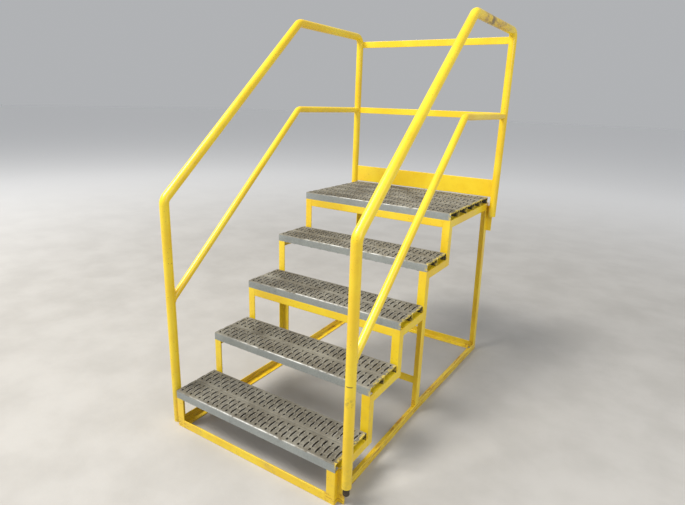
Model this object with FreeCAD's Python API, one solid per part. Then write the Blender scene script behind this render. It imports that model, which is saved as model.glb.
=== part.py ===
import FreeCAD, Part
import math
import os
from FreeCAD import Vector

# Free-standing steel staircase: four grip-plank treads and a platform on a welded
# angle-iron frame, with one bent pipe handrail and one mid-rail on each side.
# Millimetres. +Z up, the climb runs along +Y, X runs across the stair. The origin
# is on the floor under the middle of the frame.

# ---- driving dimensions: the flight ----
WIDTH = 900.0               # outside of the frame, and the length of every plank
TREADS = 4                  # steps below the platform
RUN = 254.0                 # nose to nose
RISE = 204.5                # step to step
FIRST_RISE = 190.0          # floor to the top of tread 1

# ---- driving dimensions: grip planks (inverted channels) ----
PLANK_WIDTH = 120.65
PLANK_HEIGHT = 38.0
PLANK_GAUGE = 2.6
PLANK_FOLD = 4.0            # outside radius of the folded edges
PLANK_GAP = 1.5             # between neighbouring planks
TREAD_PLANKS = 2
PLATFORM_PLANKS = 5

# ---- driving dimensions: rolled angle and flat bar ----
LEG = 40.0                  # leg of the equal angle
THICK = 5.0
ROOT_RADIUS = 5.0
TOE_RADIUS = 2.5
REAR_LEDGE = 35.0           # frame behind the last platform plank
TIE_HEIGHT = 140.0          # underside of the low tie above the floor
TIE_DEPTH = 40.0
REAR_SPLAY = 20.0           # foot of each rear leg outside the side of the frame

# ---- driving dimensions: rails ----
PIPE_OD = 42.2
PIPE_WALL = 3.6
PIPE_BEND = 45.0            # centre-line radius of the handrail bends
MIDRAIL_OD = 33.4
MIDRAIL_WALL = 3.4
MIDRAIL_BEND = 40.0
PIPE_GAP = 14.3             # frame side to pipe
POST_INSET = 30.0           # frame end to pipe centre
LEFT_FOOT = 0.0             # lower end of the left front post above the floor
RIGHT_FOOT = 86.0           # lower end of the right front post above the floor
PLUG_OD = 28.0              # rubber plug in the lower end of the right front post
PLUG_REACH = 36.0           # plug below the end of the pipe
PLUG_DEPTH = 20.0           # plug inside the pipe
PIPE_TAIL = 114.0           # open lower end of the back posts below the platform
RAIL_ABOVE = 917.0          # level handrail centre above the platform
RAIL_FRONT = 905.0          # front bend centre above tread 1
RAIL_KNEE = 35.0            # upper bend centre before the platform nose
MIDRAIL_ABOVE = 470.0       # level mid-rail centre above the platform
MIDRAIL_FRONT = 433.0       # mid-rail centre on the front post above tread 1
MIDRAIL_KNEE = 36.0         # mid-rail bend centre before the platform nose

# ---- driving dimensions: back bars and pipe stand-offs ----
BAR_DEPTH = 37.0
BAR_THICK = 6.0
TOP_BAR_DROP = 45.0         # handrail centre to the middle of the top back bar
TOE_DEPTH = 102.0
TOE_CLEAR = 3.0             # toe board above the platform
STANDOFF_REACH = 28.0       # front stand-off from the frame side
STANDOFF_THICK = 8.0
STANDOFF_LENGTH = 152.0
BACK_REACH = 32.0           # back stand-off from the frame side
BACK_COPE = 3.0             # back stand-off let into the back of the pipe
BACK_DROP = 93.0            # back stand-off below the open end of the pipe

# ---- places worked out from the sizes ----
X = Vector(1, 0, 0)
Y = Vector(0, 1, 0)
Z = Vector(0, 0, 1)
half_width = WIDTH / 2
platform_depth = PLATFORM_PLANKS * PLANK_WIDTH + (PLATFORM_PLANKS - 1) * PLANK_GAP
frame_depth = TREADS * RUN + platform_depth + REAR_LEDGE
front = -frame_depth / 2
rear = frame_depth / 2
pipe_x = half_width + PIPE_GAP + PIPE_OD / 2
post_y = front + POST_INSET
back_y = rear - POST_INSET
clear_width = WIDTH - 2 * LEG


def nose(step):
    """Y of a step's nose; step TREADS + 1 is the platform."""
    return front + (step - 1) * RUN


def top(step):
    """Height of a step's walking surface."""
    return FIRST_RISE + (step - 1) * RISE


platform = TREADS + 1
deck = top(platform)
rail_z = deck + RAIL_ABOVE
midrail_z = deck + MIDRAIL_ABOVE


def angle_bar(heel, leg_a, leg_b, length, leg=LEG):
    """Rolled equal angle: heel corner, the two leg directions, and the vector it runs along."""
    def at(a, b):
        return heel + leg_a * a + leg_b * b

    def line(a, b):
        return Part.LineSegment(a, b).toShape()

    def arc(a, middle, b):
        return Part.Arc(a, middle, b).toShape()

    slant = math.sqrt(0.5)
    toe_out = TOE_RADIUS * (1 - slant)
    root_in = THICK + ROOT_RADIUS * (1 - slant)
    root = THICK + ROOT_RADIUS
    toe_start = THICK - TOE_RADIUS
    toe_end = leg - TOE_RADIUS
    outline = Part.Wire([
        line(at(0, 0), at(leg, 0)),
        line(at(leg, 0), at(leg, toe_start)),
        arc(at(leg, toe_start), at(leg - toe_out, THICK - toe_out), at(toe_end, THICK)),
        line(at(toe_end, THICK), at(root, THICK)),
        arc(at(root, THICK), at(root_in, root_in), at(THICK, root)),
        line(at(THICK, root), at(THICK, toe_end)),
        arc(at(THICK, toe_end), at(THICK - toe_out, leg - toe_out), at(toe_start, leg)),
        line(at(toe_start, leg), at(0, leg)),
        line(at(0, leg), at(0, 0)),
    ])
    return Part.Face(outline).extrude(length)


def block(x0, x1, y0, y1, z0, z1):
    """Rectangular bar between two corners."""
    return Part.makeBox(x1 - x0, y1 - y0, z1 - z0, Vector(x0, y0, z0))


def bent_rod(points, bend_radius, rod_radius):
    """Round bar along straight runs joined by tangent arcs."""
    pieces = []
    start = points[0]
    for before, corner, after in zip(points, points[1:], points[2:]):
        toward = (corner - before).normalize()
        away = (after - corner).normalize()
        turn = toward.getAngle(away)
        setback = bend_radius * math.tan(turn / 2)
        arc_start = corner - toward * setback
        axis = toward.cross(away).normalize()
        centre = arc_start + axis.cross(toward) * bend_radius
        run = (arc_start - start).Length
        pieces.append(Part.makeCylinder(rod_radius, run, start, toward))
        disc = Part.Face(Part.Wire(Part.makeCircle(rod_radius, arc_start, toward)))
        pieces.append(disc.revolve(centre, axis, math.degrees(turn)))
        start = corner + away * setback
    last = points[-1] - start
    pieces.append(Part.makeCylinder(rod_radius, last.Length, start, last))
    return pieces[0].multiFuse(pieces[1:]).removeSplitter()


def bent_tube(points, bend_radius, outside, wall):
    """Pipe of the given outside diameter and wall, open at both ends."""
    return bent_rod(points, bend_radius, outside / 2).cut(
        bent_rod(points, bend_radius, outside / 2 - wall))


def plank(y0, z_top):
    """Inverted channel across the stair: a flat top with a leg folded down at each edge."""
    z0 = z_top - PLANK_HEIGHT
    skin = block(-half_width, half_width, y0, y0 + PLANK_WIDTH, z0, z_top)
    folds = [e for e in skin.Edges
             if abs(e.CenterOfMass.z - z_top) < 0.01 and abs(e.CenterOfMass.x) < 0.01]
    skin = skin.makeFillet(PLANK_FOLD, folds)
    hollow = block(-half_width, half_width, y0 + PLANK_GAUGE, y0 + PLANK_WIDTH - PLANK_GAUGE,
                   z0, z_top - PLANK_GAUGE)
    folds = [e for e in hollow.Edges
             if abs(e.CenterOfMass.z - z_top + PLANK_GAUGE) < 0.01 and abs(e.CenterOfMass.x) < 0.01]
    return skin.cut(hollow.makeFillet(PLANK_FOLD - PLANK_GAUGE, folds))


def planks(count, y0, z_top):
    """A row of planks laid side by side."""
    return [plank(y0 + i * (PLANK_WIDTH + PLANK_GAP), z_top) for i in range(count)]


nodes = {}

# ---- front of the floor frame ----
nodes["base_front_bar"] = angle_bar(
    Vector(-clear_width / 2, front, 0), Y, Z, X * clear_width)

# ---- cross bars under the third nose and round the platform, and the low tie ----
for name, step in (("tread_3_front_bar", 3), ("platform_front_bar", platform)):
    nodes[name] = angle_bar(
        Vector(-clear_width / 2, nose(step), top(step) - PLANK_HEIGHT), Y, -Z, X * clear_width)
nodes["platform_rear_bar"] = angle_bar(
    Vector(-clear_width / 2, rear, deck - PLANK_HEIGHT), -Y, -Z, X * clear_width)
mid_heel = nose(TREADS) + LEG
nodes["low_tie"] = block(-clear_width / 2, clear_width / 2, mid_heel - THICK, mid_heel,
                         TIE_HEIGHT, TIE_HEIGHT + TIE_DEPTH)

# ---- the two sides of the frame, and their rails ----
handrail_cores = []
front_standoffs = []
back_standoffs = []
rear_legs = []
for side, s, pipe_foot in (("left", -1, LEFT_FOOT), ("right", 1, RIGHT_FOOT)):
    out = s * half_width
    inward = X * -s
    seat = [top(step) - PLANK_HEIGHT for step in range(1, platform + 1)]

    # floor rail: straight to the mid leg, then kinked out to the foot of the rear leg
    straight = angle_bar(Vector(out, front + LEG, 0), inward, Z, Y * (mid_heel - front - LEG))
    splay = X * (s * REAR_SPLAY)
    kinked = angle_bar(Vector(out, mid_heel, 0), inward, Z, Y * (rear - LEG - mid_heel) + splay)
    rail = straight.fuse(kinked).removeSplitter()
    nodes["base_" + side + "_rail"] = rail
    nodes["front_" + side + "_post"] = angle_bar(
        Vector(out, front, 0), inward, Y, Z * seat[0])
    nodes["mid_" + side + "_leg"] = angle_bar(
        Vector(out, mid_heel, THICK), inward, -Y,
        Z * (seat[TREADS - 2] - LEG - THICK)).cut(rail)
    rear_leg = angle_bar(
        Vector(out, rear, 0) + splay, inward, -Y, Z * (seat[TREADS] - LEG) - splay)
    nodes["rear_" + side + "_leg"] = rear_leg
    rear_legs.append(rear_leg)

    for step in range(1, TREADS + 1):
        nodes["tread_%d_%s_angle" % (step, side)] = angle_bar(
            Vector(out, nose(step) + LEG, seat[step - 1]), inward, -Z, Y * (RUN - LEG))
        foot = seat[step - 1] - LEG
        nodes["riser_%d_%s" % (step, side)] = angle_bar(
            Vector(out, nose(step + 1), foot), inward, Y, Z * (seat[step] - foot))
    platform_start = nose(platform) + LEG
    nodes["platform_" + side + "_angle"] = angle_bar(
        Vector(out, platform_start, seat[TREADS]), inward, -Z, Y * (rear - platform_start))

    x = s * pipe_x
    rail_line = [
        Vector(x, post_y, pipe_foot),
        Vector(x, post_y, top(1) + RAIL_FRONT),
        Vector(x, nose(platform) - RAIL_KNEE, rail_z),
        Vector(x, back_y, rail_z),
        Vector(x, back_y, deck - PIPE_TAIL),
    ]
    core = bent_rod(rail_line, PIPE_BEND, PIPE_OD / 2)
    handrail_cores.append(core)
    nodes[side + "_handrail"] = bent_tube(rail_line, PIPE_BEND, PIPE_OD, PIPE_WALL)

    midrail_line = [
        Vector(x, post_y, top(1) + MIDRAIL_FRONT),
        Vector(x, nose(platform) - MIDRAIL_KNEE, midrail_z),
        Vector(x, back_y, midrail_z),
    ]
    midrail = bent_tube(midrail_line, MIDRAIL_BEND, MIDRAIL_OD, MIDRAIL_WALL).cut(core)
    nodes[side + "_midrail"] = max(midrail.Solids, key=lambda solid: solid.Volume)

    # flat stand-off that carries the foot of the front post
    reach = sorted((out, out + s * STANDOFF_REACH))
    flat = block(reach[0], reach[1], post_y - STANDOFF_THICK / 2, post_y + STANDOFF_THICK / 2,
                 0, STANDOFF_LENGTH)
    front_standoffs.append(flat.cut(core))

    # flat stand-off behind the foot of the back post
    reach = sorted((out, out + s * BACK_REACH))
    back_face = back_y + PIPE_OD / 2 - BACK_COPE
    back_foot = deck - PIPE_TAIL - BACK_DROP
    flat = block(reach[0], reach[1], back_face, back_face + STANDOFF_THICK,
                 back_foot, back_foot + STANDOFF_LENGTH)
    back_standoffs.append(flat.cut(core).cut(rear_leg))

# ---- rubber plug pushed into the right front post, beside the stand-off ----
plug = Part.makeCylinder(PLUG_OD / 2, PLUG_REACH, Vector(pipe_x, post_y, RIGHT_FOOT - PLUG_REACH))
stem = Part.makeCylinder(PIPE_OD / 2 - PIPE_WALL, PLUG_DEPTH, Vector(pipe_x, post_y, RIGHT_FOOT))
nodes["right_foot_plug"] = plug.fuse(stem)
nodes["front_standoffs"] = Part.makeCompound(front_standoffs).cut(plug)
nodes["back_standoffs"] = Part.makeCompound(back_standoffs)

# ---- back of the floor frame, coped to the leaning legs ----
rear_bar = angle_bar(Vector(-half_width, rear, 0), -Y, Z, X * WIDTH)
for leg in rear_legs:
    rear_bar = rear_bar.cut(leg)
nodes["base_rear_bar"] = max(rear_bar.Solids, key=lambda solid: solid.Volume)

# ---- grip planks: a tread that reaches the next riser is notched round it ----
for step in range(1, TREADS + 1):
    tread = Part.makeCompound(planks(TREAD_PLANKS, nose(step), top(step)))
    for side in ("left", "right"):
        tread = tread.cut(nodes["riser_%d_%s" % (step, side)])
    nodes["tread_%d" % step] = tread
nodes["platform_deck"] = Part.makeCompound(planks(PLATFORM_PLANKS, nose(platform), deck))

# ---- flat bars between the back posts, coped to the pipes ----
for name, middle, depth in (
        ("back_top_bar", rail_z - TOP_BAR_DROP, BAR_DEPTH),
        ("back_mid_bar", midrail_z, BAR_DEPTH),
        ("toe_board", deck + TOE_CLEAR + TOE_DEPTH / 2, TOE_DEPTH)):
    bar = block(-pipe_x, pipe_x, back_y - BAR_THICK / 2, back_y + BAR_THICK / 2,
                middle - depth / 2, middle + depth / 2)
    coped = bar.cut(handrail_cores[0]).cut(handrail_cores[1])
    nodes[name] = max(coped.Solids, key=lambda solid: solid.Volume)

os.makedirs("parts", exist_ok=True)
for name, shape in nodes.items():
    shape.exportStep("parts/" + name + ".step")
    print("%-22s %8.0f mm3  %d solid" % (name, shape.Volume, len(shape.Solids)))
print(len(nodes), "nodes, height", round(rail_z + PIPE_OD / 2, 1), "depth", round(frame_depth, 1))
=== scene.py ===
import math
import bpy
import numpy as np
from mathutils import Matrix, Vector


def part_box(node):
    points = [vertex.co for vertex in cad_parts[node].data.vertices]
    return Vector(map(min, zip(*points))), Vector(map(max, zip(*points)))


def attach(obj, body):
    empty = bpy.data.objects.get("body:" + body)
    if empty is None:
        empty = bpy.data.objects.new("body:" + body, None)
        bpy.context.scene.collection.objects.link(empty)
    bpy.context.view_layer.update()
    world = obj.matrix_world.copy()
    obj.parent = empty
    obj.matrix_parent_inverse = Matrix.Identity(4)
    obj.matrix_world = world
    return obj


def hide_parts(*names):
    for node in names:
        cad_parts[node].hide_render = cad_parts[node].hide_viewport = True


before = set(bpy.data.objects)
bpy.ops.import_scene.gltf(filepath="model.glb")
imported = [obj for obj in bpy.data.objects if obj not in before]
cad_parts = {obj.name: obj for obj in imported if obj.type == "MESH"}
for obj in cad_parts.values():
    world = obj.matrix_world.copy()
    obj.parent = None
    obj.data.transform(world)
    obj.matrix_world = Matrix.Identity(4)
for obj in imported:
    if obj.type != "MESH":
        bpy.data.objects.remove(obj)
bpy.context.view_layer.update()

# ============================== FLOOR FRAME ==============================
# Rolled 40 x 40 x 5 mm angle iron lies on the floor with one leg flat and one leg up. The bars are
# sawn square and welded at the corner posts; the side rails are kinked outwards behind the mid legs.
# Everything yellow is brushed gloss enamel straight on the steel, chipped and scuffed by use.
LEG = 0.040
THICK = 0.005
HEEL_ROUND = 0.0012
ROOT_ROUND = 0.005
TOE_ROUND = 0.0025
WORN_EDGE = 0.004           # wear reaches this far from a rounded edge
WORN_END = 0.006            # and this far from a sawn end
KINK = 0.006                # length of the bend where a side rail turns outwards
DULL_YELLOW = (0.84, 0.56, 0.010, 1)
CLEAN_YELLOW = (0.90, 0.66, 0.022, 1)
AMBER = (0.66, 0.34, 0.008, 1)
DUST = (0.42, 0.31, 0.12, 1)
RUST = (0.42, 0.17, 0.012, 1)
BLACK_TICK = (0.12, 0.07, 0.02, 1)
BARE_EDGE = (0.24, 0.12, 0.03, 1)
X, Y, Z = range(3)
AXES = np.eye(3)


class Wire:
    """A shader socket to write sums with: each operator on values adds one Math node."""

    def __init__(self, tree, socket=None):
        self.tree, self.socket = tree, socket

    def node(self, kind, settings, values, out=0):
        """Adds a node: its settings first, then values or links by socket name or number."""
        made = self.tree.nodes.new(kind)
        for key, value in settings.items():
            setattr(made, key, value)
        for key, value in values.items():
            if isinstance(value, Wire):
                self.tree.links.new(value.socket, made.inputs[key])
            else:
                made.inputs[key].default_value = value
        return Wire(self.tree, made.outputs[out])

    def maths(self, operation, first, second):
        """One Math node on two values or links."""
        return self.node("ShaderNodeMath", {"operation": operation}, {0: first, 1: second})

    def __add__(self, other):
        return self.maths("ADD", self, other)

    def __radd__(self, other):
        return self.maths("ADD", other, self)

    def __sub__(self, other):
        return self.maths("SUBTRACT", self, other)

    def __rsub__(self, other):
        return self.maths("SUBTRACT", other, self)

    def __mul__(self, other):
        return self.maths("MULTIPLY", self, other)

    def __rmul__(self, other):
        return self.maths("MULTIPLY", other, self)

    def __abs__(self):
        return self.maths("ABSOLUTE", self, 0.0)

    def most(self, other):
        """The larger of the two."""
        return self.maths("MAXIMUM", self, other)

    def rise(self, low, high):
        """0 below low, 1 above high, smooth between; falls instead when low is over high."""
        return self.node("ShaderNodeMapRange", {"interpolation_type": "SMOOTHSTEP"},
                         {"Value": self, "From Min": low, "From Max": high})

    def tint(self, without, with_it):
        """One colour where this is 0, the other where it is 1."""
        return self.node("ShaderNodeMix", {"data_type": "RGBA"}, {0: self, 6: without, 7: with_it}, 2)

    def cloud(self, where, scale, detail=4.0, rough=0.55):
        """Noise from 0 to 1 about 0.5, scale patches to the metre."""
        return self.node("ShaderNodeTexNoise", {}, {
            "Vector": where, "Scale": scale, "Detail": detail, "Roughness": rough})

    def stretched(self, where, stretch, shift=(0.0, 0.0, 0.0)):
        """The same place with its axes stretched and shifted, for streaks."""
        return self.node("ShaderNodeMapping", {}, {"Vector": where, "Scale": stretch, "Location": shift})

    def axis(self, where, number):
        """One of a place's three numbers, in metres."""
        return self.node("ShaderNodeSeparateXYZ", {}, {"Vector": where}, number)

    def near(self, where, middle, inner, outer):
        """1 within the inner distance of a point, 0 beyond the outer one."""
        apart = self.node("ShaderNodeVectorMath", {"operation": "DISTANCE"}, {0: where, 1: middle}, 1)
        return apart.rise(outer, inner)

    def mark(self, name):
        """A value stored at the piece's own corners."""
        return self.node("ShaderNodeAttribute", {"attribute_name": name}, {}, "Fac")


def new_finish(name):
    """An empty material: returns it, a Wire to build with, the place in metres, and its shader."""
    finish = bpy.data.materials.new(name)
    finish.use_nodes = True
    tree = finish.node_tree
    shader = tree.nodes["Principled BSDF"]
    build = Wire(tree)
    return finish, build, build.node("ShaderNodeTexCoord", {}, {}, "Object"), shader


def fill(build, shader, color, rough, height, depth, metal=None):
    """Joins a finish's colour, roughness, metal share and bump height to its shader."""
    bump = build.node("ShaderNodeBump", {}, {"Height": height, "Distance": depth, "Strength": 1.0})
    pairs = [(color, "Base Color"), (rough, "Roughness"), (bump, "Normal")]
    for value, socket in pairs + ([(metal, "Metallic")] if metal else []):
        build.tree.links.new(value.socket, shader.inputs[socket])


def enamel(name, rubbed, dusty, more=None):
    """Yellow enamel: uneven coats, a film of dust, dark ticks, chips on the edges, and rusty
    streaks on whatever lies on the floor. more adds a piece's own marks over the colour."""
    finish, wire, place, shader = new_finish(name)
    height = wire.axis(place, Z)
    coats = wire.cloud(place, 4.0, 3.0)
    color = coats.rise(0.35, 0.65).tint(DULL_YELLOW, CLEAN_YELLOW)
    fine = wire.cloud(place, 30.0, 6.0, 0.65)
    color = (fine.rise(0.50, 0.80) * 0.25).tint(color, AMBER)
    film = wire.cloud(place, 9.0, 6.0, 0.7).rise(0.50, 0.80)
    dust = film * (0.25 + height.rise(0.5, 0.0)) * dusty
    color = dust.tint(color, DUST)
    low = height.rise(0.060, 0.030)
    streaks = wire.cloud(wire.stretched(place, (9.0, 2.0, 40.0)), 4.0, 6.0, 0.7).rise(0.50, 0.62)
    sides = abs(wire.axis(place, X)).rise(0.36, 0.43)
    worn = streaks * low * rubbed * (0.15 + sides * 0.85)
    color = worn.tint(color, RUST)
    ticks = wire.cloud(place, 120.0, 3.0, 0.6).rise(0.65, 0.71) * wire.cloud(place, 7.0).rise(0.46, 0.60)
    color = (ticks * 0.7).tint(color, BLACK_TICK)
    chips = wire.mark("edge") * 0.30 + wire.cloud(place, 130.0, 5.0, 0.7) * 0.62 + low * 0.03
    chipped = chips.rise(0.66, 0.74)
    color = (chipped * 0.6).tint(color, BARE_EDGE)
    if more:
        color = more(wire, place, color)
    rough = 0.32 + fine * 0.14 + dust * 0.30 + worn * 0.2 + chipped * 0.25
    peel = wire.cloud(place, 240.0, 3.0, 0.5) * 0.3 + wire.cloud(place, 40.0, 3.0, 0.5) * 0.7
    fill(wire, shader, color, rough, peel - chipped * 0.4 - worn * 0.15, 0.0007)
    shader.inputs["Coat Weight"].default_value = 0.3
    shader.inputs["Coat Roughness"].default_value = 0.2
    return finish


yellow = enamel("frame enamel", 0.85, 0.45)


def place_piece(name, points, faces, finish, nodes=(), marks=None, crease=35.0):
    """Makes one piece of the object from its corners and faces, and fixes it to the frame."""
    mesh = bpy.data.meshes.new(name)
    mesh.from_pydata(np.asarray(points).reshape(-1, 3).tolist(), [], faces)
    for label, values in (marks or {}).items():
        layer = mesh.attributes.new(label, "FLOAT", "POINT")
        layer.data.foreach_set("value", np.asarray(values, np.float32).ravel())
    mesh.shade_smooth()
    mesh.set_sharp_from_angle(angle=math.radians(crease))
    mesh.materials.append(finish)
    piece = bpy.data.objects.new(name, mesh)
    bpy.context.scene.collection.objects.link(piece)
    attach(piece, "root")
    if nodes:
        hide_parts(*nodes)
    return piece


def grid_faces(rows, columns, around=False, flip=False):
    """Four-cornered faces between neighbouring rows and columns of a grid of corners; around also
    joins the last column to the first."""
    i, j = np.meshgrid(np.arange(rows - 1), np.arange(columns if around else columns - 1), indexing="ij")
    k = (j + 1) % columns
    quads = np.stack([i * columns + j, i * columns + k, (i + 1) * columns + k, (i + 1) * columns + j], -1)
    quads = quads.reshape(-1, 4)
    return quads[:, ::-1] if flip else quads


def carried(profile, stations, across, up):
    """A closed outline carried along a path: point (i, j) is station i plus outline point j's two
    numbers times the across and up directions. A flat face closes each end. Faces point outwards
    when the outline runs anticlockwise seen from the end."""
    stations = np.asarray(stations, float)
    across, up = np.broadcast_to(across, stations.shape), np.broadcast_to(up, stations.shape)
    points = (stations[:, None] + profile[None, :, :1] * across[:, None]
              + profile[None, :, 1:] * up[:, None])
    rows, columns = points.shape[:2]
    onward = stations[1] - stations[0]
    flip = bool(np.dot(np.cross(across[0], up[0]), onward) < 0)
    faces = grid_faces(rows, columns, around=True, flip=flip).tolist()
    first, last = list(range(columns)), list(range((rows - 1) * columns, rows * columns))
    faces += [first, last[::-1]] if flip else [first[::-1], last]
    return points, faces


def rounded(middle, radius, start, turn, steps=4):
    """Points on an arc: middle plus radius at equal steps of angle, in quarter turns."""
    angle = (start + turn * np.linspace(0, 1, steps)) * math.pi / 2
    return np.asarray(middle) + radius * np.stack([np.cos(angle), np.sin(angle)], -1)


def outline_and_wear(parts):
    """Joins stretches of an outline, and says how worn each point is: 1 on an edge, 0 on a face."""
    outline = np.concatenate([np.asarray(points, float) for points, _ in parts])
    return outline, np.concatenate([np.full(len(points), wear, float) for points, wear in parts])


def angle_outline():
    """Outline of rolled angle, heel at (0, 0): small rounds at heel and toes, a wide one in the
    root, and its wear."""
    heel, toe, root = HEEL_ROUND, TOE_ROUND, THICK + ROOT_ROUND
    return outline_and_wear([
        (rounded((heel, heel), heel, 2, 1), 1),
        ([(heel + WORN_EDGE, 0), (LEG - heel - WORN_EDGE, 0)], 0),
        (rounded((LEG - heel, heel), heel, 3, 1), 1), (rounded((LEG - toe, THICK - toe), toe, 0, 1), 1),
        ([(LEG - toe - WORN_EDGE, THICK)], 0), (rounded((root, root), ROOT_ROUND, 3, -1), 0),
        ([(THICK, LEG - toe - WORN_EDGE)], 0), (rounded((THICK - toe, LEG - toe), toe, 0, 1), 1),
        (rounded((heel, LEG - heel), heel, 1, 1), 1),
        ([(0, LEG - heel - WORN_EDGE), (0, heel + WORN_EDGE)], 0)])


def worn_at_ends(worn, count):
    """Each station's wear: its outline's own, and 1 all round at the two ends."""
    ends = np.zeros(count)
    ends[[0, -1]] = 1
    return np.maximum(worn[None, :], ends[:, None])


def angle_iron(node, stations, across, up):
    """Angle iron with its heel on the stations and its legs along across and up."""
    outline, worn = angle_outline()
    points, faces = carried(outline, stations, across, up)
    edge = worn_at_ends(worn, len(points))
    place_piece(node + "_bar", points, faces, yellow, [node], {"edge": edge})


def with_end_marks(start, end):
    """Stations at a straight bar's ends and just inside them, so that wear stays at the ends."""
    start, end = np.asarray(start, float), np.asarray(end, float)
    step = (end - start) / np.linalg.norm(end - start) * WORN_END
    return np.array([start, start + step, end - step, end])


def straight_angle(node, run, heel, inset=0.0):
    """A straight angle bar where its CAD node is: run is the axis along it, heel says for the two
    other axes whether the heel is at the low or the high side. inset sets the first one in."""
    low, high = np.array(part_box(node))
    others = [axis for axis in (X, Y, Z) if axis != run]
    start = low.copy()
    for axis, side in zip(others, heel):
        start[axis] = high[axis] if side > 0 else low[axis]
    end = start.copy()
    end[run] = high[run]
    legs = [AXES[axis] * -side for axis, side in zip(others, heel)]
    start, end = start + legs[0] * inset, end + legs[0] * inset
    angle_iron(node, with_end_marks(start, end), *legs)


SIDES = {"left": -1, "right": 1}
front_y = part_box("base_front_bar")[0].y
mid_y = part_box("mid_right_leg")[1].y
rear_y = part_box("rear_right_leg")[1].y
frame_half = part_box("front_right_post")[1].x
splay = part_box("rear_right_leg")[1].x - frame_half
straight_angle("base_front_bar", X, (-1, -1))
for side, sign in SIDES.items():
    outer, outer_rear = sign * frame_half, sign * (frame_half + splay)
    heel = [(outer, front_y + LEG, 0), (outer, mid_y - KINK, 0), (outer, mid_y, 0),
            (outer_rear, rear_y - LEG - KINK, 0), (outer_rear, rear_y - LEG, 0)]
    angle_iron("base_" + side + "_rail", heel, (-sign, 0, 0), (0, 0, 1))
rear_half = frame_half + splay - LEG
angle_iron("base_rear_bar", with_end_marks((-rear_half, rear_y, 0), (rear_half, rear_y, 0)),
           (0, -1, 0), (0, 0, 1))

# ============================== POSTS, LEGS AND STEPPED SIDES ==============================
# More of the same angle iron stands upright at the corners and zigzags up each side: a riser at
# the back of every step and a level bar under its ends, heel outwards, butt welded together.
TREADS = 4
MID_LEG_INSET = 0.0007      # the mid legs stand a hair inside the floor rails
BEAD = 0.0026               # radius of a weld bead on the frame
BEAD_SUNK = 0.0012          # its middle lies this far inside the steel
BEAD_SHORT = 0.003          # it stops this far short of a corner
BEAD_STEP = 0.0016          # from one ring of its surface to the next
BEAD_SIDES = 8
COIN = 3                    # rings from one ripple of a bead to the next


def bead(path, radius):
    """A weld bead round a line of close places: its radius swells and shrinks every third place
    like stacked coins, and closes down at both ends."""
    path = np.asarray(path, float)
    heads = np.gradient(path, axis=0)
    heads /= np.linalg.norm(heads, axis=1)[:, None]
    off = AXES[np.argmin(np.abs(heads).max(0))]
    out = np.cross(heads, off)
    out /= np.linalg.norm(out, axis=1)[:, None]
    over = np.cross(heads, out)
    number = np.arange(len(path))
    ripple = 0.86 + 0.14 * np.cos(number * 2 * math.pi / COIN)
    from_end = np.minimum(number, number[::-1])
    swell = radius * ripple * np.sqrt(np.clip(from_end / COIN + 0.1, 0, 1))
    turn = np.linspace(0, 2 * math.pi, BEAD_SIDES, endpoint=False)
    ring = np.cos(turn)[None, :, None] * out[:, None] + np.sin(turn)[None, :, None] * over[:, None]
    points = path[:, None] + swell[:, None, None] * ring
    return points.reshape(-1, 3), capped(len(path), BEAD_SIDES)


def capped(rows, sides):
    """Faces of a round shape whose rings are the rows of a grid, with a flat face at each end."""
    rings = np.arange(rows * sides).reshape(rows, sides)
    return grid_faces(rows, sides, around=True).tolist() + [rings[0, ::-1].tolist(), rings[-1].tolist()]


def seam(start, end):
    """Places close together on a straight line."""
    start, end = np.asarray(start, float), np.asarray(end, float)
    count = max(6, int(np.linalg.norm(end - start) / BEAD_STEP))
    return start + (end - start) * np.linspace(0, 1, count)[:, None]


def weld(name, paths, radius=BEAD, finish=yellow):
    """Several beads as one piece."""
    points, faces, total = [], [], 0
    for path in paths:
        more, quads = bead(path, radius)
        points.append(more)
        faces += [[k + total for k in face] for face in quads]
        total += len(more)
    place_piece(name, np.concatenate(points), faces, finish, (),
                {"edge": np.zeros(total)}, crease=60.0)


def upright_seam(x, y, low_z, high_z):
    """A seam up a joint, stopping short of both corners."""
    return seam((x, y, low_z + BEAD_SHORT), (x, y, high_z - BEAD_SHORT))


for side, sign in SIDES.items():
    straight_angle("front_" + side + "_post", Z, (sign, -1))
    straight_angle("mid_" + side + "_leg", Z, (sign, 1), inset=MID_LEG_INSET)
    top_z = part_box("rear_" + side + "_leg")[1].z
    foot, head = (sign * (frame_half + splay), rear_y, 0), (sign * frame_half, rear_y, top_z)
    angle_iron("rear_" + side + "_leg", with_end_marks(foot, head), (-sign, 0, 0), (0, -1, 0))
    for step in range(1, TREADS + 1):
        straight_angle("tread_%d_%s_angle" % (step, side), Y, (sign, 1))
        straight_angle("riser_%d_%s" % (step, side), Z, (sign, -1))
    straight_angle("platform_" + side + "_angle", Y, (sign, 1))
    outer = sign * (frame_half - BEAD_SUNK)
    beads = []
    for step in range(1, TREADS + 1):
        low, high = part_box("tread_%d_%s_angle" % (step, side))
        beads += [upright_seam(outer, y, low.z, high.z) for y in (low.y, high.y)]
    for node in ("mid_" + side + "_leg", "rear_" + side + "_leg"):
        low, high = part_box(node)
        beads.append(seam((outer, low.y + BEAD_SHORT, high.z), (outer, high.y - BEAD_SHORT, high.z)))
    beads.append(upright_seam(outer, front_y + LEG, 0, LEG))
    weld(side + "_frame_welds", beads)

# ============================== CROSS BARS AND LOW TIE ==============================
# Angle iron runs across under the nose of the third tread and round the platform, and a flat bar
# ties the mid legs low down. They are cut between the legs and welded at both ends.
BAR_ROUND = 0.0012
BAR_STATIONS = 33
TIE_BOW = 0.001             # sideways, at its middle
straight_angle("tread_3_front_bar", X, (-1, 1))
straight_angle("platform_front_bar", X, (-1, 1))
straight_angle("platform_rear_bar", X, (1, 1))


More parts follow.
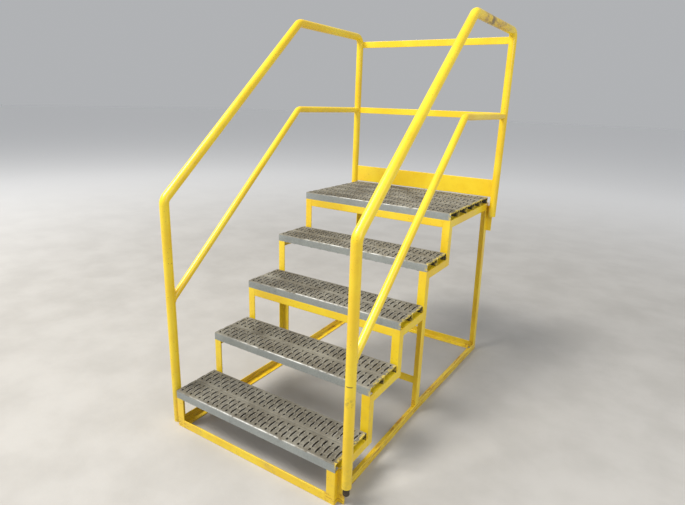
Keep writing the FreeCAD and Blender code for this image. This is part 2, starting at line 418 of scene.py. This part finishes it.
def flat_outline(wide, thick):
    """Outline of flat bar about its middle: a rectangle with small rounded corners, and its wear."""
    side, face = wide / 2 - BAR_ROUND, thick / 2
    flat = side - min(WORN_EDGE, side)
    corner = face - BAR_ROUND
    return outline_and_wear([
        (rounded((side, corner), BAR_ROUND, 0, 1), 1), ([(flat, face), (-flat, face)], 0),
        (rounded((-side, corner), BAR_ROUND, 1, 1), 1), (rounded((-side, -corner), BAR_ROUND, 2, 1), 1),
        ([(-flat, -face), (flat, -face)], 0), (rounded((side, -corner), BAR_ROUND, 3, 1), 1)])


def flat_bar(name, nodes, low, high, run, wide, bow=0.0, wave=0.0):
    """Flat bar filling a box: run is the axis along it and wide the axis of its width. It bows
    sideways by half a sine, and its width wavers by a sum of three sines."""
    thick = 3 - run - wide
    low, high = np.array(low), np.array(high)
    outline, worn = flat_outline(high[wide] - low[wide], high[thick] - low[thick])
    share = np.linspace(0, 1, BAR_STATIONS)
    stations = np.tile((low + high) / 2, (BAR_STATIONS, 1))
    stations[:, run] = low[run] + (high[run] - low[run]) * share
    stations[:, thick] += bow * np.sin(math.pi * share)
    points, faces = carried(outline, stations, AXES[wide], AXES[thick])
    waver = wave * (np.sin(19 * share) + 0.6 * np.sin(43 * share + 1) + 0.4 * np.sin(87 * share + 2))
    lower = points[:, :, wide] < (low[wide] + high[wide]) / 2
    points[:, :, wide] += waver[:, None] * lower
    edge = worn_at_ends(worn, BAR_STATIONS)
    place_piece(name, points, faces, yellow, nodes, {"edge": edge})


low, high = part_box("low_tie")
flat_bar("low_tie_bar", ["low_tie"], low, high, X, Z, bow=TIE_BOW)
beads = []
for node in ("tread_3_front_bar", "platform_front_bar", "platform_rear_bar", "base_front_bar", "low_tie"):
    low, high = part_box(node)
    y = high.y - BEAD_SUNK if node == "platform_rear_bar" else low.y + BEAD_SUNK
    beads += [upright_seam(end, y, low.z, high.z) for end in (low.x, high.x)]
weld("cross_bar_welds", beads)

# ============================== GRIP PLANKS ==============================
# Each plank is 2.6 mm galvanised sheet slit and pressed into two rows of diamonds, with toothed
# lips standing round every opening, and a plain leg folded down along each side. Two planks make
# a tread and five make the platform; they lie on the side angles and are tack welded.
PLANK_WIDTH = 0.12065
PLANK_GAP = 0.0015
PLANK_DEEP = 0.038
SHEET = 0.0026
FOLD = 0.004
LEG_FOOT = 0.010            # a line of the grid runs this far above each leg's edge
LEG_HEAD = 0.014            # and another this far below its top
LAND = 0.005                # flat beside each fold
MARGIN = 0.0135             # plain strip along each long edge
FADE = 0.010                # the pattern grows to its full height over this width
COLUMN = 0.02865            # from one column of openings to the next
COLUMNS = 15                # on each side of the middle column
CELLS = 29                  # across the plank in each column
LIP = 0.0034                # lips above the plain edges
WEB = 0.0014                # sheet between the lips, below the plain edges
SKIRT = 0.0120              # skirts below the lips
SKIRT_LEAN = 0.0006         # a skirt's foot leans this far into the opening
TOOTH = 0.0011
TOOTH_DIP = 0.4             # between teeth, as a share of a tooth
WIDEST = 0.0056             # half of an opening at its middle
SHUT = 0.0009               # and at its tips
END_LIFT = 0.5              # lips and skirts left at the sawn ends, as shares
END_HANG = 0.75
END_EDGE = 0.0008           # the rim of an end leans out by this much
END_LINES = 2               # lines of the grid at each end
COLUMN_LINES = 5            # and in each column: midway, lip, skirt, skirt, lip
SKIRT_BLEND = 0.003         # depth over which the painted shade on a skirt grows
SHEET_CREASE = 38.0
# first and last open cell of each diamond: whole columns have two diamonds, and the columns
# between them have one and two halves
WHOLE = ((0, 13), (15, 28))
BETWEEN = ((-7, 4), (6, 22), (24, 35))
DARK_TAN, PALE_TAN = (0.180, 0.162, 0.122, 1), (0.30, 0.282, 0.228, 1)
DARK_ZINC, PALE_ZINC = (0.29, 0.31, 0.30, 1), (0.36, 0.385, 0.37, 1)
MUD, STAIN, GRIME = (0.12, 0.095, 0.062, 1), (0.07, 0.058, 0.042, 1), (0.085, 0.080, 0.066, 1)
LEG_GRIME, SHADE = (0.15, 0.15, 0.135, 1), (0.028, 0.025, 0.020, 1)
RUBBED_TOOTH, NOSE_WEAR_AND_HIGHLIGHT = (0.72, 0.69, 0.62, 1), (0.74, 0.75, 0.73, 1)
OVERSPRAY = (0.74, 0.55, 0.04, 1)


def galvanised():
    """Galvanised sheet: tan dust over grey zinc, greyer on the lower treads, painted shade underneath and
    inside the openings, bright on the teeth, worn bright with a painted highlight along the nose,
    blue-grey on the plain legs, and a little yellow sprayed over the right-hand ends."""
    finish, wire, place, shader = new_finish("weathered galvanised sheet")
    lip, leg = wire.mark("lip"), wire.mark("leg")
    patches = wire.cloud(place, 7.0, 5.0, 0.6)
    spangle = wire.cloud(place, 130.0, 2.0, 0.5)
    dirt = wire.cloud(place, 24.0, 6.0, 0.7)
    color = patches.rise(0.35, 0.65).tint(DARK_TAN, PALE_TAN)
    color = (dirt.rise(0.50, 0.72) * 0.6).tint(color, MUD)
    elsewhere = wire.stretched(place, (1.0, 1.0, 1.0), (3.1, 0.7, 0.2))
    stain = wire.cloud(elsewhere, 5.5, 3.0, 0.5).rise(0.60, 0.72)
    color = (stain * 0.55).tint(color, STAIN)
    trodden = wire.axis(place, Z).rise(1.05, 0.15) * 0.30
    color = trodden.tint(color, GRIME)
    rubbed = lip.rise(0.62, 1.00) * spangle.rise(0.38, 0.58) * 0.85
    color = rubbed.tint(color, RUBBED_TOOTH)
    plain = leg.rise(0.05, 0.6)
    zinc = (spangle * 0.5 + patches * 0.5).rise(0.35, 0.65).tint(DARK_ZINC, PALE_ZINC)
    grimy = (dirt.rise(0.55, 0.75) * 0.4).tint(zinc, LEG_GRIME)
    color = plain.tint(color, grimy)
    right = wire.axis(place, X)
    # worn bright and painted highlight: a light line along the middle of each nose fold
    bright = wire.mark("fold") * dirt.rise(0.66, 0.42) * abs(right).rise(0.48, 0.10) * 0.9
    color = bright.tint(color, NOSE_WEAR_AND_HIGHLIGHT)
    # painted shade: the sheet's underside and the skirts inside the openings turn almost black
    under = wire.mark("inside").most(wire.mark("skirt")).rise(0.05, 0.65)
    color = (under * 0.92).tint(color, SHADE)
    near_end = right.rise(frame_half - 0.018, frame_half + 0.001)
    ends = near_end * wire.cloud(place, 60.0, 4.0, 0.6).rise(0.45, 0.58)
    sawn = right.rise(frame_half - 0.0012, frame_half - 0.0006)
    ends = ends.most(sawn * wire.cloud(place, 90.0, 3.0).rise(0.40, 0.52))
    color = (ends * 0.8).tint(color, OVERSPRAY)
    rough = 0.60 + dirt * 0.2 - rubbed * 0.22 - bright * 0.06 - plain * 0.10
    metal = 0.22 + rubbed * 0.35 + plain * 0.15 - ends * 0.3
    grain = wire.cloud(place, 420.0, 3.0, 0.6) * 0.5 + dirt * 0.5
    fill(wire, shader, color, rough, grain, 0.0006, metal)
    return finish


zinc_sheet = galvanised()


def diamond_lift(openings):
    """Over the cells of one column: how open each line between cells is, from 0 at a tip to 1 at
    the middle of a diamond (1 minus the cube of the distance), and which cells are open."""
    line = np.arange(CELLS + 1)
    opened = np.zeros(CELLS + 1)
    cell_open = np.zeros(CELLS, bool)
    for first, last in openings:
        middle, reach = (first + last + 1) / 2, (last + 1 - first) / 2
        share = np.clip(np.abs(line - middle) / reach, 0, 1)
        opened = np.maximum(opened, 1 - share ** 3)
        cell_open[max(first, 0):last + 1] = True
    return opened, cell_open


def plank_surface(y0, top, is_nose):
    """The outer face of one plank as a grid. Each opening has a line on each lip and one at the
    foot of the skirt that hangs from it, and one line lies midway to the next opening; up the grid
    the sheet climbs the front leg, turns the fold, crosses the openings and goes down the back leg.
    The web sinks between the plain edges, a lip rises and its skirt falls with how open the diamond
    is, and the teeth are every second line lifted. Cells inside openings are left out."""
    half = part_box("tread_1")[1].x
    numbers = np.arange(-COLUMNS, COLUMNS + 1)
    profiles = (diamond_lift(WHOLE), diamond_lift(BETWEEN))
    middle_y = MARGIN + (PLANK_WIDTH - 2 * MARGIN) * np.arange(CELLS + 1) / CELLS
    turn = rounded((FOLD, -FOLD), FOLD, 2, -1, 5)
    before = np.concatenate([[(0, -PLANK_DEEP), (0, LEG_FOOT - PLANK_DEEP), (0, -LEG_HEAD)], turn,
                             [(FOLD + LAND, 0)]])
    after = before[::-1] * (-1, 1) + (PLANK_WIDTH, 0)
    pattern = np.stack([middle_y, np.zeros(CELLS + 1)], -1)
    path = np.concatenate([before, pattern, after])
    plain_rows, rows = len(before), len(path)
    fade = np.minimum(1, np.minimum(middle_y - MARGIN, PLANK_WIDTH - MARGIN - middle_y) / FADE)
    teeth = TOOTH * np.where(np.arange(CELLS + 1) % 2, 1.0, -TOOTH_DIP) * fade
    web = -WEB * fade

    def lip(number):
        """Half widths and heights of a column's lips and skirts. The width follows how open the
        diamond is, and the heights follow that to the power 0.6."""
        opened, _ = profiles[abs(number) % 2]
        wide = SHUT + (WIDEST - SHUT) * opened
        rise = opened ** 0.6 * fade
        raised = web + (LIP + WEB) * rise + teeth * np.clip(opened * 3, 0, 1)
        return wide, raised, wide - SKIRT_LEAN * opened, raised - SKIRT * rise

    def straight(place):
        """A line of the grid straight across the plank."""
        return np.full(CELLS + 1, place)

    lines_x, lines_z = [], []
    for number in numbers:
        wide, raised, skirt, hem = lip(number)
        column = COLUMN * number
        lines_x += [straight(column - COLUMN / 2), column - wide, column - skirt]
        lines_x += [column + skirt, column + wide]
        lines_z += [web, raised, hem, hem, raised]
    _, raised, _, hem = lip(COLUMNS + 1)
    end, hang = web + (raised - web) * END_LIFT, web + (hem - web) * END_HANG
    lines_x = [straight(-half), straight(END_EDGE - half)] + lines_x
    lines_x += [straight(COLUMN * (COLUMNS + 0.5)), straight(half - END_EDGE), straight(half)]
    lines_z = [hang, end] + lines_z + [web, end, hang]
    x, z = np.array(lines_x).T, np.array(lines_z).T
    columns = x.shape[1]
    full_x = np.concatenate([np.repeat(x[:1], plain_rows, 0), x, np.repeat(x[-1:], plain_rows, 0)])
    full_z = np.zeros((rows, columns))
    full_z[plain_rows:-plain_rows] = z
    points = np.stack([full_x, np.repeat(path[:, :1] + y0, columns, 1),
                       path[:, 1:] + top + full_z], -1)
    hole = np.zeros((rows - 1, columns - 1), bool)
    for i, number in enumerate(numbers):
        between_skirts = END_LINES + COLUMN_LINES * i + 2
        hole[plain_rows:plain_rows + CELLS, between_skirts] = profiles[abs(number) % 2][1]
    quads = grid_faces(rows, columns)[~hole.ravel()]
    lip_mark = np.clip((full_z + WEB) / (LIP + WEB), 0, 1)
    lip_mark[:plain_rows] = lip_mark[-plain_rows:] = 0
    leg_mark = np.repeat(np.clip((-path[:, 1:] - FOLD * 0.5) / FOLD, 0, 1), columns, 1)
    # the nose fold of each front plank, where its wear and painted highlight go
    on_fold = is_nose * np.exp(-((path[:, 0] / FOLD - 0.4) / 0.7) ** 2) * (path[:, 1] > -FOLD * 0.8)
    fold_mark = np.repeat(on_fold[:, None], columns, 1)
    # how far down each skirt the painted shade reaches
    skirt_mark = np.clip(-(full_z + WEB) / SKIRT_BLEND, 0, 1)
    return points, quads, (lip_mark, leg_mark, fold_mark, skirt_mark)


def grip_planks(name, node, count):
    """Several planks side by side as one piece, thickened inwards to the sheet's gauge."""
    low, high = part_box(node)
    points, quads, marks, total = [], [], [], 0
    for i in range(count):
        corners, faces, plank_marks = plank_surface(low.y + i * (PLANK_WIDTH + PLANK_GAP), high.z, i == 0)
        points.append(corners.reshape(-1, 3))
        quads.append(faces + total)
        marks.append(np.reshape(plank_marks, (4, -1)))
        total += len(points[-1])
    marks = dict(zip(("lip", "leg", "fold", "skirt"), np.concatenate(marks, 1)))
    piece = place_piece(name, np.concatenate(points), np.concatenate(quads).tolist(), zinc_sheet,
                        [node], marks)
    sheet = piece.modifiers.new("sheet", "SOLIDIFY")
    sheet.thickness, sheet.offset, sheet.use_even_offset = SHEET, -1.0, False
    thick = bpy.data.meshes.new_from_object(piece.evaluated_get(bpy.context.evaluated_depsgraph_get()))
    piece.modifiers.clear()
    piece.data = thick
    inside = np.arange(len(thick.vertices)) >= total
    layer = thick.attributes.new("inside", "FLOAT", "POINT")
    layer.data.foreach_set("value", inside.astype(np.float32))
    thick.shade_smooth()
    thick.set_sharp_from_angle(angle=math.radians(SHEET_CREASE))


for step in range(1, TREADS + 1):
    grip_planks("tread_%d_planks" % step, "tread_%d" % step, 2)
grip_planks("platform_planks", "platform_deck", 5)

# ============================== PIPE RAILS ==============================
# One length of 1-1/4 inch pipe makes each front post, sloping rail, level rail and back post, cold
# bent at three corners and a little flattened there; its back end is left open. A thinner pipe,
# bent once and coped at both ends, is the mid-rail, welded between the posts.
PIPE = 0.0422
PIPE_WALL = 0.0036
PIPE_BEND = 0.045
PIPE_TAIL = 0.114           # open end of a back post below the deck
MIDRAIL = 0.0334
MIDRAIL_WALL = 0.0034
MIDRAIL_BEND = 0.040
BEND_ABOVE_TREAD = 0.905    # the handrail's lower bend above the first tread
KNEE = 0.035                # and its upper bend in front of the platform's nose
MIDRAIL_ABOVE_TREAD = 0.433
MIDRAIL_KNEE = 0.036
MIDRAIL_ABOVE_DECK = 0.470
PIPE_SIDES = 28
BEND_STEPS = 9
FLATTENED = 0.045           # a bend is this share thinner one way
SPREAD = 0.030              # and this share wider the other
SADDLE_BEAD = 0.0036        # radius of the beads round the mid-rails
SADDLE_PLACES = 68
SADDLE_TURN = 2.04 * math.pi    # a little over once round, so that the bead meets itself
GREASE_YELLOW = (0.46, 0.36, 0.05, 1)
SHADED_RAIL_BROWN = (0.33, 0.20, 0.05, 1)
BLACK_STAIN = (0.10, 0.065, 0.03, 1)
SCRAPE = (0.09, 0.055, 0.02, 1)
SMUDGE = (0.28, 0.19, 0.04, 1)
TICK = (0.25, 0.16, 0.03, 1)

deck_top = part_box("platform_deck")[1].z
tread_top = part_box("tread_1")[1].z
nose_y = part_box("platform_deck")[0].y
low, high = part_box("right_handrail")
post_x = (low.x + high.x) / 2
post_y, back_y, rail_z = low.y + PIPE / 2, high.y - PIPE / 2, high.z - PIPE / 2


def pipe_marks(wire, place, color):
    """Marks on the rails: dusty feet, painted shade turning the right level rail brown in patches, a
    dark stain under it, a scrape and a smudge on the front of the right front post, and a tick on the left."""
    across, along, height = wire.axis(place, X), wire.axis(place, Y), wire.axis(place, Z)
    foot = height.rise(0.32, 0.05) * wire.cloud(place, 22.0, 6.0, 0.7).rise(0.38, 0.66)
    color = (foot * 0.45).tint(color, GREASE_YELLOW)
    # painted shade: the level part of the right handrail darkened brown in patches
    rail_shade = height.rise(rail_z - 0.040, rail_z - 0.020) * across.rise(-0.1, 0.1)
    rail_shade = rail_shade * along.rise(nose_y + 0.024, nose_y + 0.084) * along.rise(back_y - 0.06, back_y - 0.20)
    patchy = wire.cloud(wire.stretched(place, (6.0, 1.5, 6.0)), 9.0, 5.0, 0.65)
    color = (rail_shade * patchy.rise(0.40, 0.62) * 0.75).tint(color, SHADED_RAIL_BROWN)
    middle = (post_x - 0.0054, nose_y + 0.1741, rail_z - 0.015)
    stain = wire.near(place, middle, 0.022, 0.050) * patchy.rise(0.38, 0.50)
    color = (stain * 0.85).tint(color, BLACK_STAIN)
    middle = (post_x + 0.0066, post_y - 0.022, tread_top + 0.3485)
    level = abs(height - middle[Z]).rise(0.0030, 0.0012)
    color = (level * wire.near(place, middle, 0.010, 0.017) * 0.9).tint(color, SCRAPE)
    middle = (post_x + 0.0066, post_y - 0.022, tread_top + 0.282)
    smudge = wire.near(place, middle, 0.004, 0.030) * wire.cloud(place, 90.0, 4.0, 0.6).rise(0.40, 0.58)
    color = (smudge * 0.55).tint(color, SMUDGE)
    flat = 3.0
    middle = (-post_x - 0.0146, post_y - 0.018, (tread_top + 0.593) * flat)
    tick = wire.near(wire.stretched(place, (1.0, 1.0, flat)), middle, 0.004, 0.008)
    return (tick * 0.6).tint(color, TICK)


rail_yellow = enamel("rail enamel", 0.25, 0.22, pipe_marks)


def pipe_path(corners, bend):
    """A line in the YZ plane with rounded corners: at each corner an arc of the bend radius,
    tangent to both runs. Returns places, directions, and how far round a bend each place is."""
    corners = np.asarray(corners, float)
    first = corners[1] - corners[0]
    places, heads, bent = [corners[0]], [first / np.linalg.norm(first)], [0.0]
    for before, corner, after in zip(corners, corners[1:], corners[2:]):
        into = (corner - before) / np.linalg.norm(corner - before)
        out = (after - corner) / np.linalg.norm(after - corner)
        turn = math.acos(np.dot(into, out))
        start = corner - into * bend * math.tan(turn / 2)
        inward = (out - into * np.dot(into, out)) / math.sin(turn)
        share = np.linspace(0, 1, BEND_STEPS)
        angle = (turn * share)[:, None]
        places += list(start + bend * (np.sin(angle) * into + (1 - np.cos(angle)) * inward))
        heads += list(np.cos(angle) * into + np.sin(angle) * inward)
        bent += list(np.sin(math.pi * share))
    last = corners[-1] - corners[-2]
    places.append(corners[-1])
    heads.append(last / np.linalg.norm(last))
    bent.append(0.0)
    return np.array(places), np.array(heads), np.array(bent)


def pipe(name, node, x, corners, outside, wall, bend):
    """Pipe: a ring of points round the path, outside and then back along the inside, joined at
    the open ends. In a bend the ring is squeezed towards the middle of the bend and spreads."""
    places, heads, bent = pipe_path(corners, bend)
    centre = np.concatenate([np.full((len(places), 1), x), places], 1)
    upward = np.stack([np.zeros(len(heads)), -heads[:, 1], heads[:, 0]], -1)
    turn = np.linspace(0, 2 * math.pi, PIPE_SIDES, endpoint=False)
    rings = []
    for radius in (outside / 2, outside / 2 - wall):
        squeeze = radius * (1 - FLATTENED * bent)[:, None, None]
        spread = radius * (1 + SPREAD * bent)[:, None, None]
        rings.append(centre[:, None] + spread * np.cos(turn)[None, :, None] * AXES[X]
                     + squeeze * np.sin(turn)[None, :, None] * upward[:, None])
    points = np.concatenate([rings[0], rings[1][::-1]])
    rows = len(points)
    quads = grid_faces(rows + 1, PIPE_SIDES, around=True) % (rows * PIPE_SIDES)
    edge = np.zeros((rows, PIPE_SIDES))
    edge[[0, len(places) - 1, len(places), rows - 1]] = 1
    place_piece(name, points, quads[:, ::-1].tolist(), rail_yellow, [node], {"edge": edge})


def saddle(x, y, z, slope, toward):
    """Where a mid-rail meets a post: at each angle round the mid-rail, the line runs out from the
    post's middle until it is the post's radius away from the post's axis."""
    angle = np.linspace(0, SADDLE_TURN, SADDLE_PLACES)
    side, over = MIDRAIL / 2 * np.cos(angle), MIDRAIL / 2 * np.sin(angle)
    rise, level = math.sin(slope), math.cos(slope)
    out = (np.sqrt((PIPE / 2) ** 2 - side ** 2) + over * rise) / level
    return np.stack([x + side, y + toward * (out * level - over * rise), z + out * rise + over * level], -1)


mid_foot, mid_knee = tread_top + MIDRAIL_ABOVE_TREAD, deck_top + MIDRAIL_ABOVE_DECK
handrail_rest = [(post_y, tread_top + BEND_ABOVE_TREAD), (nose_y - KNEE, rail_z), (back_y, rail_z),
                 (back_y, deck_top - PIPE_TAIL)]
midrail_line = [(post_y, mid_foot), (nose_y - MIDRAIL_KNEE, mid_knee), (back_y, mid_knee)]
slope = math.atan2(mid_knee - mid_foot, nose_y - MIDRAIL_KNEE - post_y)
for side, sign in SIDES.items():
    x = sign * post_x
    foot = (post_y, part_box(side + "_handrail")[0].z)
    pipe(side + "_handrail_pipe", side + "_handrail", x, [foot] + handrail_rest, PIPE, PIPE_WALL, PIPE_BEND)
    pipe(side + "_midrail_pipe", side + "_midrail", x, midrail_line, MIDRAIL, MIDRAIL_WALL, MIDRAIL_BEND)
    weld(side + "_midrail_welds",
         [saddle(x, post_y, mid_foot, slope, 1), saddle(x, back_y, mid_knee, 0.0, -1)],
         SADDLE_BEAD, rail_yellow)

# ============================== STAND-OFFS AND FOOT PLUG ==============================
# Short flat strips stand beside the front posts and behind the back posts, welded to the side of
# the frame, and the front ones to the pipe as well. A worn black rubber plug closes the foot of
# the right post, which ends above the floor; the left post stands on it.
REACH = {"front_standoff": 0.028, "back_standoff": 0.032}    # out from the side of the frame
STANDOFF_BEAD = 0.0028      # radius of a bead here
STANDOFF_SHORT = 0.001      # its beads stop this much shorter than the frame's
CLEAR = 0.0004              # between a strip and the side of the frame
PLUG_TIP = 0.014            # radius of the part that shows
PLUG_SIDES = 32
RUBBER_BLACK, RUBBER_GREY = (0.030, 0.022, 0.014, 1), (0.090, 0.066, 0.040, 1)
for name, reach in REACH.items():
    node = name + "s"
    low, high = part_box(node)
    beads = []
    for side, sign in SIDES.items():
        near, far = sorted((sign * (frame_half + CLEAR), sign * (frame_half + reach)))
        flat_bar(side + "_" + name, [node], (near, low.y, low.z), (far, high.y, high.z), Z, X)
        at_frame, at_pipe = sign * (frame_half + 0.001), sign * (post_x - PIPE / 2 - 0.0005)
        foot_z = max(low.z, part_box(side + "_handrail")[0].z)
        for y in (low.y, high.y):
            beads.append(upright_seam(at_frame, y, low.z + STANDOFF_SHORT, high.z - STANDOFF_SHORT))
            if name == "front_standoff":
                beads.append(upright_seam(at_pipe, y, foot_z + STANDOFF_SHORT, high.z - STANDOFF_SHORT))
    weld(name + "_welds", beads, STANDOFF_BEAD)


def rubber():
    """Black rubber gone grey with dust, paler where it has scraped the floor."""
    finish, wire, place, shader = new_finish("worn rubber")
    fine = wire.cloud(place, 60.0, 5.0, 0.65)
    color = fine.rise(0.35, 0.70).tint(RUBBER_BLACK, RUBBER_GREY)
    fill(wire, shader, color, 0.70 + fine * 0.2, wire.cloud(place, 300.0, 4.0, 0.6), 0.0008)
    return finish


def turned(profile, x, y):
    """A round piece: each outline point's radius and height carried round an upright axis."""
    turn = np.linspace(0, 2 * math.pi, PLUG_SIDES, endpoint=False)
    radius, height = np.asarray(profile).T[:, :, None]
    points = np.stack(np.broadcast_arrays(x + radius * np.cos(turn), y + radius * np.sin(turn), height), -1)
    return points, capped(len(profile), PLUG_SIDES)


low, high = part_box("right_foot_plug")
foot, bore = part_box("right_handrail")[0].z, PIPE / 2 - PIPE_WALL
outline = [(PLUG_TIP * 0.55, low.z), (PLUG_TIP * 0.93, low.z), (PLUG_TIP - 0.0003, low.z + 0.0012),
           (PLUG_TIP, low.z + 0.003), (PLUG_TIP * 0.97, low.z + 0.015), (PLUG_TIP, foot - 0.003),
           (PLUG_TIP + 0.0005, foot - 0.0005), (bore - 0.0006, foot - 0.0002), (bore, foot + 0.001),
           (bore, high.z)]
points, faces = turned(outline, (low.x + high.x) / 2, (low.y + high.y) / 2)
place_piece("right_foot_plug_rubber", points, faces, rubber(), ["right_foot_plug"])

# ============================== BACK BARS AND TOE BOARD ==============================
# Two flat bars and a deeper toe board close the back of the platform. They are cut to the pipes
# and welded at both ends; the toe board's lower edge is flame cut and wavers a little.
LET_IN = 0.003              # a bar's end inside the wall of the pipe
BAR_BEAD = 0.0032           # radius of a bead on these bars
BAR_BEAD_SHORT = 0.002      # it stops this far short of a corner
BAR_BEAD_BACK = 0.0022      # its middle is this far from the end of the bar
BAR_BOW = 0.0015
WAVES = {"back_top_bar": 0.0002, "back_mid_bar": 0.0002, "toe_board": 0.0008}    # of the lower edges
reach = post_x - PIPE / 2 + LET_IN
beads = []
for node, wave in WAVES.items():
    low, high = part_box(node)
    flat_bar(node + "_flat", [node], (-reach, low.y, low.z), (reach, high.y, high.z), X, Z, BAR_BOW, wave)
    low_z, high_z = low.z + BAR_BEAD_SHORT, high.z - BAR_BEAD_SHORT
    for x in (reach - BAR_BEAD_BACK, BAR_BEAD_BACK - reach):
        beads += [seam((x, y, low_z), (x, y, high_z)) for y in (low.y, high.y)]
weld("back_bar_welds", beads, BAR_BEAD)

# ============================== FLOOR, LIGHT AND CAMERA ==============================
# A plain pale floor, which fades to white far off, under a large soft lamp overhead and a weak one
# on the right, seen from the front right corner at head height.
FLOOR = 60.0                # half its side
NEAR_GREY, NEAR_PALE, FAR = (0.42, 0.405, 0.38, 1), (0.48, 0.465, 0.44, 1), (0.97, 0.97, 0.97, 1)
SKY, SKY_STRENGTH = (0.95, 0.97, 1.0, 1), 0.46
CAMERA_PLACE = (1.3036, -2.2030, 1.5264)
YAW, PITCH, ROLL = math.radians(-31.894), math.radians(-16.645), math.radians(1.984)
SENSOR, LENS = 36.0, 26.459737
floor_finish, wire, place, shader = new_finish("pale floor")
shade = wire.cloud(place, 2.5, 5.0, 0.6)
away = wire.node("ShaderNodeVectorMath", {"operation": "LENGTH"}, {0: place}, 1).rise(2.0, 9.0)
pale = shade.rise(0.3, 0.7).tint(NEAR_GREY, NEAR_PALE)
fill(wire, shader, away.tint(pale, FAR), 0.60 + shade * 0.2, wire.cloud(place, 60.0, 4.0, 0.6), 0.0004)
mesh = bpy.data.meshes.new("floor")
mesh.from_pydata([(-FLOOR, -FLOOR, 0), (FLOOR, -FLOOR, 0), (FLOOR, FLOOR, 0), (-FLOOR, FLOOR, 0)], [],
                 [(0, 1, 2, 3)])
mesh.materials.append(floor_finish)
floor = bpy.data.objects.new("floor", mesh)
bpy.context.scene.collection.objects.link(floor)

world = bpy.data.worlds.new("soft studio")
world.use_nodes = True
world.node_tree.nodes["Background"].inputs["Color"].default_value = SKY
world.node_tree.nodes["Background"].inputs["Strength"].default_value = SKY_STRENGTH
bpy.context.scene.world = world
bpy.context.scene.view_settings.view_transform = "Standard"


def soft_light(name, place, aim, size, power, color):
    """A square area light that faces the aim point."""
    lamp = bpy.data.lights.new(name, "AREA")
    lamp.size, lamp.energy, lamp.color = size, power, color
    holder = bpy.data.objects.new(name, lamp)
    holder.location = place
    holder.rotation_euler = (Vector(aim) - Vector(place)).to_track_quat("-Z", "Y").to_euler()
    bpy.context.scene.collection.objects.link(holder)


soft_light("ceiling light", place=(-3.3, -3.6, 7.4), aim=(0, 0, 0.7), size=3.4, power=900,
           color=(1.0, 0.97, 0.92))
soft_light("side light", place=(3.4, -1.2, 2.8), aim=(0, 0, 0.8), size=2.2, power=52,
           color=(0.95, 0.97, 1.0))

ahead = Vector((math.sin(YAW) * math.cos(PITCH), math.cos(YAW) * math.cos(PITCH), math.sin(PITCH)))
level = ahead.cross(Vector((0, 0, 1))).normalized()
upright = level.cross(ahead)
right_hand = level * math.cos(ROLL) + upright * math.sin(ROLL)
head = upright * math.cos(ROLL) - level * math.sin(ROLL)
turned_to = Matrix((right_hand, head, -ahead)).transposed().to_4x4()
camera = bpy.data.objects.new("camera", bpy.data.cameras.new("camera"))
camera.matrix_world = Matrix.Translation(CAMERA_PLACE) @ turned_to
camera.data.sensor_width, camera.data.lens = SENSOR, LENS
bpy.context.scene.collection.objects.link(camera)
bpy.context.scene.camera = camera
